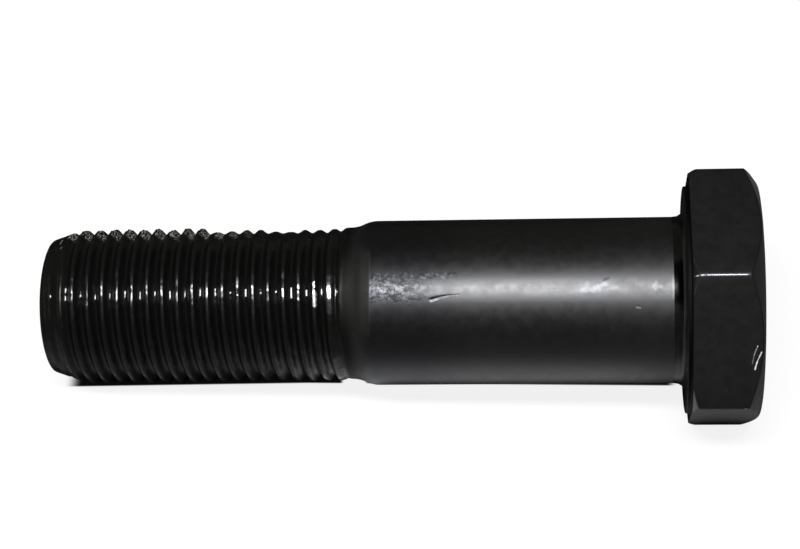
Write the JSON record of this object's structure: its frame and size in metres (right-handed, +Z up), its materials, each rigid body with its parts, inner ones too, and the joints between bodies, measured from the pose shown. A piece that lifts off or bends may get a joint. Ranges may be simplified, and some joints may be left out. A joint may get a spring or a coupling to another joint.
{
  "type": "ring gear bolt",
  "caption": "Hexagon fit bolt in blackened steel with a thin washer-faced head, ground body, run-out neck and fine rolled thread, lying on its side.",
  "frame": {"origin": "on the surface that the bolt lies on, under the middle of its outline", "axes": "+X runs along the bolt from the thread's tip towards the head, which leans up by 3.6 degrees because the head is wider than the thread; +Z is up; the head lies on one of its flats"},
  "size_m": [0.0718, 0.027, 0.0239],
  "materials": {
    "blackened_steel": "black oxide over hardened alloy steel, lightly oiled: satin on the body, glossier on the rolled thread, matt on the forged head"
  },
  "bodies": {
    "root": {"ring_gear_bolt": "blackened_steel"}
  },
  "joints": []
}
